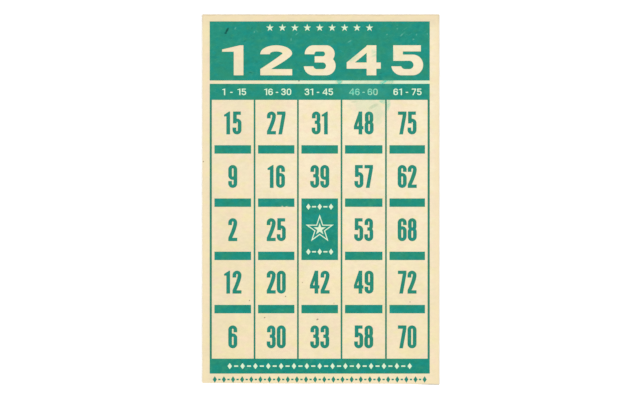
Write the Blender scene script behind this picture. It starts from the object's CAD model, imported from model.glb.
import math
import bmesh
import bpy
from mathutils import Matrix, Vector, noise


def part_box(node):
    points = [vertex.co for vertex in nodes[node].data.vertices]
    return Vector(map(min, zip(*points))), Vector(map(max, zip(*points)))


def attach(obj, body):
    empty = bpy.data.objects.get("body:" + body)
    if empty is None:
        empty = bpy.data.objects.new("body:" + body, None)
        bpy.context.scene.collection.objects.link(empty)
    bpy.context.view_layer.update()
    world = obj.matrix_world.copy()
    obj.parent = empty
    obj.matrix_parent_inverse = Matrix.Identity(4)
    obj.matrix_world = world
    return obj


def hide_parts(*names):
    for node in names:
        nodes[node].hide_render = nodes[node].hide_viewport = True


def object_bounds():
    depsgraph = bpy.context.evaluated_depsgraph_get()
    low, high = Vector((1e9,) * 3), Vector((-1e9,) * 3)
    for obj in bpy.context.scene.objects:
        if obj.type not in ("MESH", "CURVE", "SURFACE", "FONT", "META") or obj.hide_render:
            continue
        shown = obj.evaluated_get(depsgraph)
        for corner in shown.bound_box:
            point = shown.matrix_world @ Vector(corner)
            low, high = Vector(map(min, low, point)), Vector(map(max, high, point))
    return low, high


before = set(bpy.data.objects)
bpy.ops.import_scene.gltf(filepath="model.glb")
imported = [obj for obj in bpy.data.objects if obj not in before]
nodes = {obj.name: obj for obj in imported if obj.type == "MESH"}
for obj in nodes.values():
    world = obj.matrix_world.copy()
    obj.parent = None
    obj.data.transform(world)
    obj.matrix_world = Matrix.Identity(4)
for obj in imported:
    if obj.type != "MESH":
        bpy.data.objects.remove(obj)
cadLow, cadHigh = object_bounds()
mm = 0.001
print("frame loaded,", len(nodes), "nodes")


# camera straight above, as a copy camera looks down on a flat sheet; middle is the place under it in mm
camera = dict(lens=85, sensor=36, pixels=640, mmPerPixel=0.48228, middle=(-0.36, -0.19), clip=(0.01, 20))

lens = bpy.data.cameras.new("copyCamera")
lens.lens = camera["lens"]
lens.sensor_width = camera["sensor"]
lens.clip_start, lens.clip_end = camera["clip"]
frameWidth = camera["pixels"] * camera["mmPerPixel"] * mm
reach = frameWidth * camera["lens"] / camera["sensor"]
eye = bpy.data.objects.new("copyCamera", lens)
eye.location = (camera["middle"][0] * mm, camera["middle"][1] * mm, cadHigh.z + reach)
bpy.context.collection.objects.link(eye)
bpy.context.scene.camera = eye
bpy.context.scene.view_settings.view_transform = "Standard"
print("camera at", round(reach, 3), "m")


# a white room and a wide softbox on each side, in metres, watts and degrees
light = dict(white=(1, 1, 1, 1), room=0.57, boxSize=1.4, distance=1.5, tilt=48, power=14.3)

world = bpy.data.worlds.new("whiteRoom")
world.use_nodes = True
room = world.node_tree.nodes["Background"].inputs
room["Color"].default_value = light["white"]
room["Strength"].default_value = light["room"]
bpy.context.scene.world = world

lean = math.radians(light["tilt"])
for side in (-1, 1):
    lamp = bpy.data.lights.new("softbox", "AREA")
    lamp.size = light["boxSize"]
    lamp.energy = light["power"]
    box = bpy.data.objects.new("softbox", lamp)
    box.location = (side * light["distance"] * math.sin(lean), 0, light["distance"] * math.cos(lean))
    box.rotation_euler = (0, side * lean, 0)
    bpy.context.collection.objects.link(box)
print("lights set")


# small helpers for shader trees
def addNode(tree, kind, feeds=None, **settings):
    node = tree.nodes.new(kind)
    for name, value in settings.items():
        setattr(node, name, value)
    for socket, value in (feeds or {}).items():
        if isinstance(value, bpy.types.NodeSocket):
            tree.links.new(value, node.inputs[socket])
        else:
            node.inputs[socket].default_value = value
    return node


def addGroup(tree, group, **feeds):
    return addNode(tree, "ShaderNodeGroup", feeds, node_tree=group).outputs


def splitPlace(tree, place):
    return addNode(tree, "ShaderNodeSeparateXYZ", {0: place}).outputs


def calc(tree, operation, first, second=0.0, third=0.0):
    feeds = {0: first, 1: second, 2: third}
    return addNode(tree, "ShaderNodeMath", feeds, operation=operation).outputs[0]


def calcVector(tree, operation, first, second):
    feeds = {0: first, 1: second}
    return addNode(tree, "ShaderNodeVectorMath", feeds, operation=operation).outputs[0]


def least(tree, *values):
    lowest = values[0]
    for value in values[1:]:
        lowest = calc(tree, "MINIMUM", lowest, value)
    return lowest


def fade(tree, value, low, high, out=(0.0, 1.0)):
    feeds = {"Value": value, "From Min": low, "From Max": high, "To Min": out[0], "To Max": out[1]}
    return addNode(tree, "ShaderNodeMapRange", feeds, interpolation_type="SMOOTHSTEP").outputs[0]


# noise, with its size in mm
def cloud(tree, vector, size, seed, detail=2.0, distortion=0.0):
    feeds = {"Vector": vector, "W": seed, "Scale": 1 / (size * mm),
             "Detail": detail, "Distortion": distortion}
    return addNode(tree, "ShaderNodeTexNoise", feeds, noise_dimensions="4D").outputs[0]


def stretch(tree, vector, turn, scale):
    feeds = {"Vector": vector, "Rotation": (0, 0, math.radians(turn)), "Scale": scale}
    return addNode(tree, "ShaderNodeMapping", feeds, vector_type="TEXTURE").outputs[0]


# noise spread over a range of values; it seldom leaves noiseRange
noiseRange = (0.3, 0.7)


def vary(tree, value, out=(0.0, 1.0)):
    return fade(tree, value, *noiseRange, out)


# noise as a push to both sides of zero
def swing(tree, value, width):
    return calc(tree, "MULTIPLY_ADD", value, width, -width / 2)


def blend(tree, amount, under, over, mode="MIX"):
    feeds = {0: amount, 6: under, 7: over}  # a colour mix has its two colours on 6 and 7
    return addNode(tree, "ShaderNodeMix", feeds, data_type="RGBA", blend_type=mode).outputs[2]


# three ways to work on a colour: a tint by a mask, a tint where a value passes a cut, lighter and darker
def stain(tree, colour, mask, tint, strength):
    return blend(tree, calc(tree, "MULTIPLY", mask, strength), colour, tint)


def shade(tree, colour, value, cut, tint, strength=1.0):
    return blend(tree, fade(tree, value, *cut, (0.0, strength)), colour, tint)


def dapple(tree, colour, value, limits):
    return blend(tree, 1.0, colour, vary(tree, value, limits), "MULTIPLY")


def startGroup(name, inputs, outputs):
    group = bpy.data.node_groups.new(name, "ShaderNodeTree")
    for label, kind in inputs.items():
        group.interface.new_socket(name=label, in_out="INPUT", socket_type="NodeSocket" + kind)
    for label in outputs:
        group.interface.new_socket(name=label, in_out="OUTPUT", socket_type="NodeSocketFloat")
    return group, addNode(group, "NodeGroupInput").outputs, addNode(group, "NodeGroupOutput").inputs


def startMaterial(name, feeds):
    material = bpy.data.materials.new(name)
    material.use_nodes = True
    tree = material.node_tree
    tree.nodes.clear()
    shader = addNode(tree, "ShaderNodeBsdfPrincipled", feeds)
    addNode(tree, "ShaderNodeOutputMaterial", {"Surface": shader.outputs[0]})
    return material, tree, shader, addNode(tree, "ShaderNodeTexCoord").outputs["Object"]


# bump is its strength and its depth in mm
def coatShader(tree, shader, colour, roughness, height, bump):
    strength, depth = bump
    feeds = {"Height": height, "Strength": strength, "Distance": depth * mm}
    normal = addNode(tree, "ShaderNodeBump", feeds).outputs[0]
    for socket, value in (("Base Color", colour), ("Roughness", roughness), ("Normal", normal)):
        tree.links.new(value, shader.inputs[socket])


# surface colour that shows as this screen colour under the lights
lightLevel = 1.2


def tone(red, green, blue):
    def linear(value):  # the screen's own curve
        share = value / 255
        return share / 12.92 if share <= 0.04045 else ((share + 0.055) / 1.055) ** 2.4
    return (*(linear(v) / lightLevel for v in (red, green, blue)), 1)


# a soft oval patch: centre and half sizes in metres, ragged pushes its rim in and out
def makeSoftSpot():
    inputs = dict(Vector="Vector", Centre="Vector", Sizes="Vector",
                  Turn="Float", Ragged="Float", Core="Float")
    group, given, put = startGroup("softSpot", inputs, ["Mask"])
    away = calcVector(group, "SUBTRACT", given["Vector"], given["Centre"])
    turned = addNode(group, "ShaderNodeVectorRotate", {"Vector": away, "Angle": given["Turn"]},
                     rotation_type="Z_AXIS", invert=True).outputs[0]
    scaled = calcVector(group, "DIVIDE", turned, given["Sizes"])
    flat = calcVector(group, "MULTIPLY", scaled, (1, 1, 0))
    length = addNode(group, "ShaderNodeVectorMath", {0: flat}, operation="LENGTH").outputs["Value"]
    rim = calc(group, "ADD", length, given["Ragged"])
    group.links.new(fade(group, rim, 1.0, given["Core"]), put["Mask"])
    return group


softSpot = makeSoftSpot()


# place and half sizes in mm, turn in degrees
def addSpot(tree, place, at, sizes, turn, ragged, solid):
    return addGroup(tree, softSpot, Vector=place, Centre=(at[0] * mm, at[1] * mm, 0),
                    Sizes=(sizes[0] * mm, sizes[1] * mm, 1), Turn=math.radians(turn),
                    Ragged=ragged, Core=solid)[0]


# paper stock: slow mottle, fine grain and short fibres, sizes in mm
paper = dict(
    mottle=dict(size=9, seed=1.3, detail=3.0),
    grain=dict(size=1.1, seed=4.1, detail=3.0), grainShape=(1.7, 1, 1),
    fibre=dict(size=1, detail=1.0, distortion=0.4), fibreShape=(4.5, 0.32, 1), fibreCut=(0.69, 0.8),
    fibreRuns=[(4, 0.7), (-38, 2.9), (57, 6.2)],  # turn in degrees and seed
    rough=dict(size=0.35, seed=8.8, detail=3.0), grainHeight=0.5, fibreHeight=0.35,
)


def makePaperStock():
    outputs = ["Mottle", "Grain", "Fibre", "Height"]
    group, given, put = startGroup("paperStock", dict(Vector="Vector"), outputs)
    place = given["Vector"]
    mottle = cloud(group, place, **paper["mottle"])
    grain = cloud(group, stretch(group, place, 0, paper["grainShape"]), **paper["grain"])
    fibre = 0.0
    for turn, seed in paper["fibreRuns"]:
        run = stretch(group, place, turn, paper["fibreShape"])
        strand = fade(group, cloud(group, run, seed=seed, **paper["fibre"]), *paper["fibreCut"])
        fibre = calc(group, "MAXIMUM", fibre, strand)
    height = cloud(group, place, **paper["rough"])
    height = calc(group, "MULTIPLY_ADD", grain, paper["grainHeight"], height)
    height = calc(group, "MULTIPLY_ADD", fibre, paper["fibreHeight"], height)
    for label, value in zip(outputs, (mottle, grain, fibre, height)):
        group.links.new(value, put[label])
    return group


paperStock = makePaperStock()


# worn band along the trimmed outline; uneven is a share of its reach
edge = dict(broken=dict(size=5, seed=3.3, detail=4.0), push=2.0, uneven=0.8)


def makeEdgeBand():
    group, given, put = startGroup("edgeBand", dict(Vector="Vector", Reach="Float"), ["Band"])
    split = splitPlace(group, given["Vector"])
    sideGap = calc(group, "SUBTRACT", cadHigh.x, calc(group, "ABSOLUTE", split[0]))
    topGap = calc(group, "SUBTRACT", cadHigh.y, split[1])
    bottomGap = calc(group, "SUBTRACT", split[1], cadLow.y)
    gap = least(group, sideGap, topGap, bottomGap)
    broken = swing(group, cloud(group, given["Vector"], **edge["broken"]), edge["push"])
    depth = calc(group, "MULTIPLY", given["Reach"], edge["uneven"])
    uneven = calc(group, "MULTIPLY_ADD", broken, depth, gap)
    group.links.new(fade(group, uneven, given["Reach"], 0.0), put["Band"])
    return group


edgeBand = makeEdgeBand()


# wet ink dragged by a hand while the sheet was fresh: its streaks, and its patches with half sizes in mm
drag = dict(
    rim=dict(size=3, seed=5.5, detail=4.0), push=1.5, solid=0.3,
    streak=dict(size=1, seed=7.7, detail=4.0, distortion=1.2), streakShape=(4, 0.8, 1), streakTurn=34,
    streakCut=(0.36, 0.64),
)
smear = [
    dict(at=(21.0, 56.7), sizes=(15.5, 3.0), turn=0, amount=0.5, streaky=0.5, ragged=1.0),
    dict(at=(31.8, 56.7), sizes=(5.6, 3.2), turn=10, amount=1.0, streaky=0.5, ragged=0.8),
    dict(at=(8.9, 56.7), sizes=(2.5, 2.2), turn=0, amount=0.95, streaky=0.3, ragged=1.2),
    dict(at=(20.8, 52.0), sizes=(17.0, 6.0), turn=0, amount=0.95, streaky=0.2, ragged=0.3),
    dict(at=(23.0, 45.4), sizes=(12.5, 6.5), turn=0, amount=0.3, streaky=0.15, ragged=0.9),
    dict(at=(27.4, 43.0), sizes=(5.6, 9.0), turn=0, amount=0.36, streaky=0.2, ragged=0.9),
    dict(at=(25.2, 45.0), sizes=(4.6, 1.5), turn=28, amount=0.5, streaky=0.3, ragged=1.0),
    dict(at=(19.5, 47.3), sizes=(7.5, 1.2), turn=3, amount=0.4, streaky=0.5, ragged=1.2),
    dict(at=(30.0, 47.2), sizes=(2.8, 1.8), turn=-20, amount=0.75, streaky=0.5, ragged=1.2),
    dict(at=(32.8, 46.0), sizes=(1.3, 4.4), turn=-8, amount=0.7, streaky=0.4, ragged=1.0),
    dict(at=(14.8, 69.0), sizes=(5.0, 4.0), turn=30, amount=0.6, streaky=0.6, ragged=1.2),
    dict(at=(25.6, 70.6), sizes=(4.4, 3.6), turn=40, amount=0.6, streaky=0.6, ragged=1.2),
    dict(at=(34.0, 69.5), sizes=(2.8, 6.0), turn=0, amount=0.55, streaky=0.6, ragged=1.2),
]


def makeSmear():
    group, given, put = startGroup("inkSmear", dict(Vector="Vector"), ["Mask"])
    place = given["Vector"]
    ragged = swing(group, cloud(group, place, **drag["rim"]), drag["push"])
    run = stretch(group, place, drag["streakTurn"], drag["streakShape"])
    streaks = fade(group, cloud(group, run, **drag["streak"]), *drag["streakCut"], (-1.0, 0.0))
    total = 0.0
    for patch in smear:
        rim = calc(group, "MULTIPLY", ragged, patch["ragged"])
        wash = addSpot(group, place, patch["at"], patch["sizes"], patch["turn"], rim, drag["solid"])
        wash = calc(group, "MULTIPLY", wash, patch["amount"])
        wash = calc(group, "MULTIPLY", wash, calc(group, "MULTIPLY_ADD", streaks, patch["streaky"], 1.0))
        total = calc(group, "MAXIMUM", total, wash)
    group.links.new(total, put["Mask"])
    return group


inkSmear = makeSmear()


# small marks: solid is the part of the radius that doesn't fade
mark = dict(solid=0.35, rim=dict(size=0.5, seed=1.9), push=1.2)


def raggedRim(tree, place):
    return swing(tree, cloud(tree, place, **mark["rim"]), mark["push"])


# a spot is its place, half sizes and turn, in mm and degrees
def addSpots(tree, place, spots, ragged):
    total = 0.0
    for x, y, length, width, turn in spots:
        spot = addSpot(tree, place, (x, y), (length, width), turn, ragged, mark["solid"])
        total = calc(tree, "MAXIMUM", total, spot)
    return total


# loose dirt and pinholes: one small dot in some of the cells of a grid, in mm
def scatter(tree, place, spacing, size, keep, seed):
    feeds = {"Vector": place, "W": seed, "Scale": 1 / (spacing * mm), "Randomness": 1.0}
    cells = addNode(tree, "ShaderNodeTexVoronoi", feeds, voronoi_dimensions="4D").outputs
    rim = size / spacing
    dot = fade(tree, cells["Distance"], rim, rim * mark["solid"])
    chance = addNode(tree, "ShaderNodeSeparateColor", {0: cells["Color"]}).outputs[0]
    return calc(tree, "MULTIPLY", dot, calc(tree, "LESS_THAN", chance, keep))


# cream face paper, yellowed and handled; the number beside a tone is its strength,
# sizes and places are in mm, and shares are of half the card's height
face = dict(
    specular=0.25, roughness=(0.82, 0.95), bump=(0.3, 0.03),
    upper=tone(244, 231, 198), lower=tone(240, 225, 188), lowerShares=(0.4, -0.8),
    left=(tone(232, 217, 181), 0.6), top=(tone(229, 214, 178), 0.85), topShares=(0.9, 0.97),
    straw=tone(238, 226, 170), blush=tone(245, 219, 192), tintShape=(1.5, 1, 1), tintCut=(0.47, 0.72),
    tints=[("straw", 16, 2.2, 0.45), ("blush", 12, 5.9, 0.4),  # tone, size in mm, seed, strength
           ("straw", 3.4, 7.3, 0.55), ("blush", 2.6, 4.4, 0.55)],
    mottle=(0.976, 1.02), grain=(0.97, 1.026), fibre=(tone(222, 198, 150), 0.22),
    aged=(tone(243, 224, 183), 0.7), agedReach=4,
    rubbed=tone(206, 186, 150), rubbedReach=1.1, rubbedShares=(0.93, 1.0), rubbedShow=(0.08, 0.5),
    mint=tone(212, 239, 207), mintShow=0.75, mintFade=1, mintGap=[(30.0, 56.7, 75.0, 2.2, 0)],
    tinted=tone(214, 244, 214), openingRim=0.2,  # paper in the narrow openings of the print
    openings=[("header_panel", 6.2, 0.7), ("range_strip", 8, 0.8),  # node, depth from its top, strength
              ("free_panel", 30, 0.7), ("footer_strip", 8, 0.75)],
    sage=tone(206, 221, 183), sageCut=(0.0, 0.6), wet=tone(98, 208, 180), wetCut=(0.5, 1.0),
    khaki=(tone(188, 194, 160), 0.42),
    smudges=[(24.5, 44.5, 1.9, 1.0, 34), (26.5, 45.6, 1.8, 1.1, 18), (16.0, 47.2, 1.8, 0.5, 8)],
    cutGrey=(tone(176, 174, 166), 0.8), cutGrime=[(52.5, -89.3, 10.5, 0.6, -0.5)],
    dirt=tone(104, 88, 66), dust=dict(spacing=8, size=0.32, keep=0.3, seed=3.7), dustShow=0.25,
    specks=[(-10.5, 57.3, 0.6, 0.45, 20), (-1.6, -57.8, 0.75, 0.5, 30), (-27.1, -56.9, 0.5, 0.4, 0),
            (-17.0, -46.7, 0.5, 0.35, -20), (-34.4, -48.7, 0.45, 0.35, 40), (-8.8, -40.0, 0.4, 0.35, 0),
            (6.4, -49.9, 0.4, 0.3, 60), (43.0, -49.4, 0.4, 0.3, 10), (-56.6, 18.3, 0.5, 0.4, 0)],
    speckShow=0.75,
)


def alongHeight(shares):
    return [cadHigh.y * share for share in shares]


def faceGround(tree, place, split, stock):
    colour = shade(tree, face["upper"], split[1], alongHeight(face["lowerShares"]), face["lower"])
    colour = shade(tree, colour, split[0], (0.0, cadLow.x), *face["left"])
    colour = shade(tree, colour, split[1], alongHeight(face["topShares"]), *face["top"])
    for tint, size, seed, strength in face["tints"]:
        drift = cloud(tree, stretch(tree, place, 0, face["tintShape"]), size, seed)
        colour = shade(tree, colour, drift, face["tintCut"], face[tint], strength)
    colour = dapple(tree, colour, stock["Mottle"], face["mottle"])
    colour = dapple(tree, colour, stock["Grain"], face["grain"])
    return stain(tree, colour, stock["Fibre"], *face["fibre"])


def faceEdges(tree, place, split, colour):
    band = addGroup(tree, edgeBand, Vector=place, Reach=face["agedReach"] * mm)[0]
    colour = stain(tree, colour, band, *face["aged"])
    rim = addGroup(tree, edgeBand, Vector=place, Reach=face["rubbedReach"] * mm)[0]
    onTop = fade(tree, split[1], *alongHeight(face["rubbedShares"]), face["rubbedShow"])
    return stain(tree, colour, rim, face["rubbed"], onTop)


# the part of a printed panel that lies less than depth below its upper edge
def insidePanel(tree, split, panel, depth):
    low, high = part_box(panel)
    bottom = max(low.y, high.y - depth * mm)
    gap = least(tree, calc(tree, "SUBTRACT", split[0], low.x), calc(tree, "SUBTRACT", high.x, split[0]),
                calc(tree, "SUBTRACT", split[1], bottom), calc(tree, "SUBTRACT", high.y, split[1]))
    return fade(tree, gap, 0.0, face["openingRim"] * mm)


# what the printing left on the paper: a green cast beside the ink, and the smear
def facePrint(tree, place, split, ragged, colour):
    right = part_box("header_panel")[1].x
    inside = fade(tree, split[0], right, right - face["mintFade"] * mm, (0.0, face["mintShow"]))
    colour = stain(tree, colour, addSpots(tree, place, face["mintGap"], ragged), face["mint"], inside)
    for panel, depth, strength in face["openings"]:
        colour = stain(tree, colour, insidePanel(tree, split, panel, depth), face["tinted"], strength)
    wash = addGroup(tree, inkSmear, Vector=place)[0]
    colour = shade(tree, colour, wash, face["sageCut"], face["sage"])
    colour = shade(tree, colour, wash, face["wetCut"], face["wet"])
    return stain(tree, colour, addSpots(tree, place, face["smudges"], ragged), *face["khaki"])


def faceDirt(tree, place, ragged, colour):
    colour = stain(tree, colour, addSpots(tree, place, face["cutGrime"], ragged), *face["cutGrey"])
    specks = calc(tree, "MULTIPLY", addSpots(tree, place, face["specks"], ragged), face["speckShow"])
    dust = calc(tree, "MULTIPLY", scatter(tree, place, **face["dust"]), face["dustShow"])
    return blend(tree, calc(tree, "MAXIMUM", specks, dust), colour, face["dirt"])


def dressFace():
    material, tree, shader, place = startMaterial("facePaper", {"Specular IOR Level": face["specular"]})
    stock = addGroup(tree, paperStock, Vector=place)
    split = splitPlace(tree, place)
    ragged = raggedRim(tree, place)
    colour = faceGround(tree, place, split, stock)
    colour = faceEdges(tree, place, split, colour)
    colour = facePrint(tree, place, split, ragged, colour)
    colour = faceDirt(tree, place, ragged, colour)
    roughness = vary(tree, stock["Grain"], face["roughness"])
    coatShader(tree, shader, colour, roughness, stock["Height"], face["bump"])
    return material


# grey-buff chipboard, seen only at the cut edges
core = dict(
    specular=0.2, roughness=(0.86, 0.97), bump=(0.6, 0.06),
    pale=tone(206, 190, 158), dark=tone(158, 140, 110),
    layers=dict(size=1, seed=0.4, detail=3.0, distortion=0.3), layerShape=(14, 14, 0.12),
    grit=(tone(96, 84, 68), 0.5), bits=dict(spacing=0.6, size=0.12, keep=0.3, seed=5.1),
)


def dressCore():
    material, tree, shader, place = startMaterial("chipboard", {"Specular IOR Level": core["specular"]})
    layers = cloud(tree, stretch(tree, place, 0, core["layerShape"]), **core["layers"])
    colour = blend(tree, vary(tree, layers), core["dark"], core["pale"])
    colour = stain(tree, colour, scatter(tree, place, **core["bits"]), *core["grit"])
    coatShader(tree, shader, colour, vary(tree, layers, core["roughness"]), layers, core["bump"])
    return material


# plain back paper, greyer than the face and rubbed along its edges
back = dict(
    specular=0.2, roughness=(0.85, 0.96), bump=(0.45, 0.04),
    ground=tone(226, 212, 178), shade=tone(203, 186, 149), mottleCut=(0.3, 0.75), mottleShow=(0.1, 0.45),
    grain=(0.94, 1.04), fibre=(tone(176, 156, 118), 0.55), rubbedReach=7, rubbedShow=0.7,
    dirt=(tone(120, 102, 78), 0.5), dust=dict(spacing=6, size=0.4, keep=0.5, seed=9.2),
)


def dressBack():
    material, tree, shader, place = startMaterial("backPaper", {"Specular IOR Level": back["specular"]})
    stock = addGroup(tree, paperStock, Vector=place)
    mottle = fade(tree, stock["Mottle"], *back["mottleCut"], back["mottleShow"])
    colour = blend(tree, mottle, back["ground"], back["shade"])
    colour = dapple(tree, colour, stock["Grain"], back["grain"])
    colour = stain(tree, colour, stock["Fibre"], *back["fibre"])
    band = addGroup(tree, edgeBand, Vector=place, Reach=back["rubbedReach"] * mm)[0]
    colour = stain(tree, colour, band, back["shade"], back["rubbedShow"])
    colour = stain(tree, colour, scatter(tree, place, **back["dust"]), *back["dirt"])
    roughness = vary(tree, stock["Grain"], back["roughness"])
    coatShader(tree, shader, colour, roughness, stock["Height"], back["bump"])
    return material


# green printing ink, a thin film that lets the paper's grain through; the number beside a tone
# is its strength, and sizes and places are in mm
ink = dict(
    specular=0.12, roughness=(0.52, 0.68), bump=(0.25, 0.02),
    upper=tone(29, 141, 121), lower=tone(16, 135, 116), thin=tone(78, 168, 146), deep=tone(8, 104, 94),
    cool=tone(14, 142, 130), coolCut=(0.5, 0.7), warm=tone(40, 142, 112), warmCut=(0.5, 0.3),
    drifts=[(12, 6.6, 0.6), (2.8, 9.1, 0.8)], driftShape=(1.6, 1, 1),  # size in mm, seed, strength
    film=dict(size=2.2, seed=3.1, detail=3.0, distortion=0.4),
    thinCut=(0.5, 0.78), thinShow=0.2, deepCut=(0.5, 0.22), deepShow=0.28, grain=(0.96, 1.04),
    scuffed=[(41.0, 80.0, 11.0, 6.0, -20), (-33.0, 82.5, 7.0, 4.0, 20), (-30.0, 60.5, 8.0, 3.0, 0)],
    leastWear=0.4,
    scratch=dict(size=1, detail=1.0, distortion=0.3), scratchShape=(3.0, 0.24, 1),
    scratchRuns=[(32, 1.4), (-24, 8.3)], scratchCut=(0.64, 0.74), scratchShow=0.9,  # turn and seed
    clots=dict(spacing=3.0, size=0.55, keep=0.22, seed=7.1), clotShow=0.8,
    pinholes=dict(spacing=3.0, size=0.5, keep=0.3, seed=2.4), pinholeShow=0.8, washShow=0.3,
    chipped=(tone(112, 190, 166), 0.55),
    flecks=[(36.9, 82.4, 0.6, 0.4, 20), (39.0, 79.4, 1.3, 0.4, 50), (44.7, 77.3, 0.7, 0.5, 0),
            (46.2, 79.6, 0.6, 0.4, 60), (51.4, 79.9, 0.6, 0.35, 90), (31.9, 79.6, 0.6, 0.35, 40),
            (13.9, 76.3, 1.5, 0.35, 30), (-41.2, 82.6, 0.9, 0.35, 60), (-32.0, 80.9, 0.6, 0.4, 90),
            (-14.3, 77.3, 1.0, 0.35, 85), (-11.6, 79.9, 1.3, 0.35, 40)],
    streaks=[(-33.2, 82.7, 1.0, 0.35, 70), (-36.6, 76.5, 0.7, 0.4, 20), (-34.0, 61.3, 1.1, 0.35, 0),
             (-9.7, 61.8, 0.8, 0.4, 10), (29.0, 61.0, 1.0, 0.35, 15), (40.0, 62.2, 0.8, 0.4, 0)],
    streakShow=0.6,
    bare=(tone(206, 216, 180), 0.7), nicks=[(-18.6, -3.3, 0.6, 0.4, 0), (-16.4, -3.4, 0.9, 0.4, 8)],
    blot=(tone(0, 76, 68), 0.92), blotRim=0.3,
    blots=[(-45.2, 81.6, 2.2, 0.75, 61), (-45.9, 80.3, 0.9, 0.5, 0)],
    cast=tone(62, 108, 72), coats=dict(panelInk=0.0, strokeInk=0.12, ruleInk=0.36),  # share of the cast
    strokes=("number_", "edge_row"), rules=("left_rule", "right_rule", "column_rule_"),
)


def inkGround(tree, place, stock, film):
    along = splitPlace(tree, place)[1]
    colour = shade(tree, ink["upper"], along, (cadHigh.y, cadLow.y), ink["lower"])
    for size, seed, strength in ink["drifts"]:
        drift = cloud(tree, stretch(tree, place, 0, ink["driftShape"]), size, seed)
        colour = shade(tree, colour, drift, ink["coolCut"], ink["cool"], strength)
        colour = shade(tree, colour, drift, ink["warmCut"], ink["warm"], strength)
    colour = shade(tree, colour, film, ink["thinCut"], ink["thin"], ink["thinShow"])
    colour = shade(tree, colour, film, ink["deepCut"], ink["deep"], ink["deepShow"])
    return dapple(tree, colour, stock["Grain"], ink["grain"])


# scratches and pinholes are strongest where the sheet is scuffed
def inkWear(tree, place, ragged, colour):
    scuffs = addSpots(tree, place, ink["scuffed"], ragged)
    wear = calc(tree, "MULTIPLY_ADD", scuffs, 1 - ink["leastWear"], ink["leastWear"])
    for turn, seed in ink["scratchRuns"]:
        run = cloud(tree, stretch(tree, place, turn, ink["scratchShape"]), seed=seed, **ink["scratch"])
        scratches = fade(tree, run, *ink["scratchCut"], (0.0, ink["scratchShow"]))
        colour = stain(tree, colour, scratches, ink["thin"], wear)
    colour = stain(tree, colour, scatter(tree, place, **ink["clots"]), ink["deep"], ink["clotShow"])
    pinholes = calc(tree, "MULTIPLY", scatter(tree, place, **ink["pinholes"]), wear)
    return stain(tree, colour, pinholes, ink["thin"], ink["pinholeShow"])


def inkMarks(tree, place, ragged, colour):
    wash = addGroup(tree, inkSmear, Vector=place)[0]
    colour = stain(tree, colour, wash, ink["thin"], ink["washShow"])
    colour = stain(tree, colour, addSpots(tree, place, ink["flecks"], ragged), *ink["chipped"])
    streaks = addSpots(tree, place, ink["streaks"], ragged)
    colour = stain(tree, colour, streaks, ink["deep"], ink["streakShow"])
    colour = stain(tree, colour, addSpots(tree, place, ink["nicks"], ragged), *ink["bare"])
    steady = calc(tree, "MULTIPLY", ragged, ink["blotRim"])
    return stain(tree, colour, addSpots(tree, place, ink["blots"], steady), *ink["blot"])


def dressInk(coat):
    material, tree, shader, place = startMaterial(coat, {"Specular IOR Level": ink["specular"]})
    stock = addGroup(tree, paperStock, Vector=place)
    film = cloud(tree, place, **ink["film"])
    ragged = raggedRim(tree, place)
    colour = inkGround(tree, place, stock, film)
    colour = inkWear(tree, place, ragged, colour)
    colour = inkMarks(tree, place, ragged, colour)
    colour = blend(tree, ink["coats"][coat], colour, ink["cast"])
    coatShader(tree, shader, colour, vary(tree, film, ink["roughness"]), stock["Height"], ink["bump"])
    return material


finish = dict(face=dressFace(), core=dressCore(), back=dressBack())
for coat in ink["coats"]:
    finish[coat] = dressInk(coat)
print("materials made")


# the knife wandered up along the bottom cut: most at deepest, none at start and end, in mm
trim = dict(start=-38, deepest=41, end=54, depth=0.36)


def trimLoss(x):
    rise = (x - trim["start"]) / (trim["deepest"] - trim["start"])
    fall = (trim["end"] - x) / (trim["end"] - trim["deepest"])
    share = max(0, min(1, rise, fall))
    return trim["depth"] * share * share * (3 - 2 * share)  # eased at both ends


# the board: three plies of one trimmed outline, with soft corners and an uneven cut;
# lengths in mm, and rate is how quickly the cut wanders, per metre
board = dict(longSide=50, cuts=60, calm=4, cornerSteps=5, rollSteps=3, touch=0.0001)
facePly = dict(name="faceSheet", slot="face_paper", finish="face", corner=0.3,
               wander=0.12, rate=160, seed=1.0, rolled="top", roll=0.07)
corePly = dict(name="chipboardCore", slot="chipboard", finish="core", corner=0.25,
               wander=0.16, rate=260, seed=4.0, rolled=None)
backPly = dict(name="backSheet", slot="back_paper", finish="back", corner=0.3,
               wander=0.12, rate=160, seed=7.0, rolled="bottom", roll=0.06)
plies = dict(face_liner=facePly, board_core=corePly, back_liner=backPly)


def outlineCorners(node):
    points = [v.co for v in nodes[node].data.vertices]
    order = ((-1, -1), (1, -1), (1, 1), (-1, 1))
    return [max(points, key=lambda p: sx * p.x + sy * p.y) for sx, sy in order]


def cutSheet(bm, corners, z, ply):
    sheet = bm.faces.new([bm.verts.new((p.x, p.y, z)) for p in corners])
    bmesh.ops.bevel(bm, geom=list(sheet.verts), offset=ply["corner"] * mm, affect="VERTICES",
                    segments=board["cornerSteps"], profile=0.5, material=-1)
    sides = [e for e in bm.edges if e.calc_length() > board["longSide"] * mm]
    bmesh.ops.subdivide_edges(bm, edges=sides, cuts=board["cuts"])


# the long sides lose a little, the corners stay
def wearSides(bm, corners, halfWidth, ply):
    for v in bm.verts:
        gap = min((v.co - p).xy.length for p in corners) / mm - ply["corner"]
        share = min(1, max(0, gap / board["calm"]))
        onSide = abs(v.co.x) > halfWidth - ply["corner"] * mm
        inward = Vector((-v.co.x, 0, 0)) if onSide else Vector((0, -v.co.y, 0))
        loss = (noise.noise(v.co * ply["rate"] + Vector((0, 0, ply["seed"]))) + 1) / 2
        v.co += inward.normalized() * loss * share * ply["wander"] * mm
        if not onSide and v.co.y < 0:
            v.co.y += trimLoss(v.co.x / mm) * mm


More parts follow.
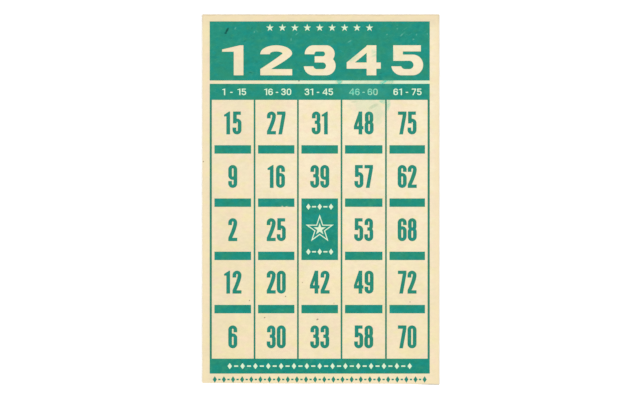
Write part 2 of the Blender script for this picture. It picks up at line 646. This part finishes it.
def thicken(bm, thickness):
    grown = bmesh.ops.extrude_face_region(bm, geom=bm.faces[:], use_keep_orig=True)
    raised = [v for v in grown["geom"] if isinstance(v, bmesh.types.BMVert)]
    bmesh.ops.translate(bm, verts=raised, vec=(0, 0, thickness))
    bmesh.ops.recalc_face_normals(bm, faces=bm.faces[:])


def rollRim(bm, z, ply):
    rim = [e for e in bm.edges if all(abs(v.co.z - z) < board["touch"] * mm for v in e.verts)]
    bmesh.ops.bevel(bm, geom=rim, offset=ply["roll"] * mm, affect="EDGES",
                    segments=board["rollSteps"], profile=0.5, material=-1)


def linkPiece(name, bm, material):
    mesh = bpy.data.meshes.new(name)
    bm.to_mesh(mesh)
    bm.free()
    mesh.materials.append(material)
    piece = bpy.data.objects.new(name, mesh)
    bpy.context.collection.objects.link(piece)
    return piece


def makePly(node, ply):
    low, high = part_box(node)
    corners = outlineCorners(node)
    bm = bmesh.new()
    cutSheet(bm, corners, low.z, ply)
    wearSides(bm, corners, high.x, ply)
    thicken(bm, high.z - low.z)
    if ply["rolled"]:
        rollRim(bm, high.z if ply["rolled"] == "top" else low.z, ply)
    piece = linkPiece(ply["name"], bm, finish[ply["finish"]])
    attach(piece, "root")
    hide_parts(node)


for node, ply in plies.items():
    makePly(node, ply)
print("plies cut")


# every island of the print keeps its solid and gets the ink, which is warmer where a stroke is narrow
def inkCoat(name):
    if name.startswith(ink["strokes"]):
        return "strokeInk"
    if name.startswith(ink["rules"]):
        return "ruleInk"
    return "panelInk"


printed = {name: node for name, node in nodes.items() if name not in plies}
for name, node in printed.items():
    node.data.materials.clear()
    node.data.materials.append(finish[inkCoat(name)])
print("print dressed,", len(printed), "islands")


# pale table, its size in metres and its drop below the card in mm
floor = dict(size=6.0, drop=0.02, shade=(0.99, 0.99, 0.99, 1), roughness=0.9, specular=0.1)


def makeFloor():
    bm = bmesh.new()
    bmesh.ops.create_grid(bm, x_segments=1, y_segments=1, size=floor["size"] / 2)
    bmesh.ops.translate(bm, verts=bm.verts[:], vec=(0, 0, cadLow.z - floor["drop"] * mm))
    feeds = {"Base Color": floor["shade"], "Roughness": floor["roughness"],
             "Specular IOR Level": floor["specular"]}
    table = linkPiece("paleTable", bm, startMaterial("paleTable", feeds)[0])


makeFloor()
print("scene ready")
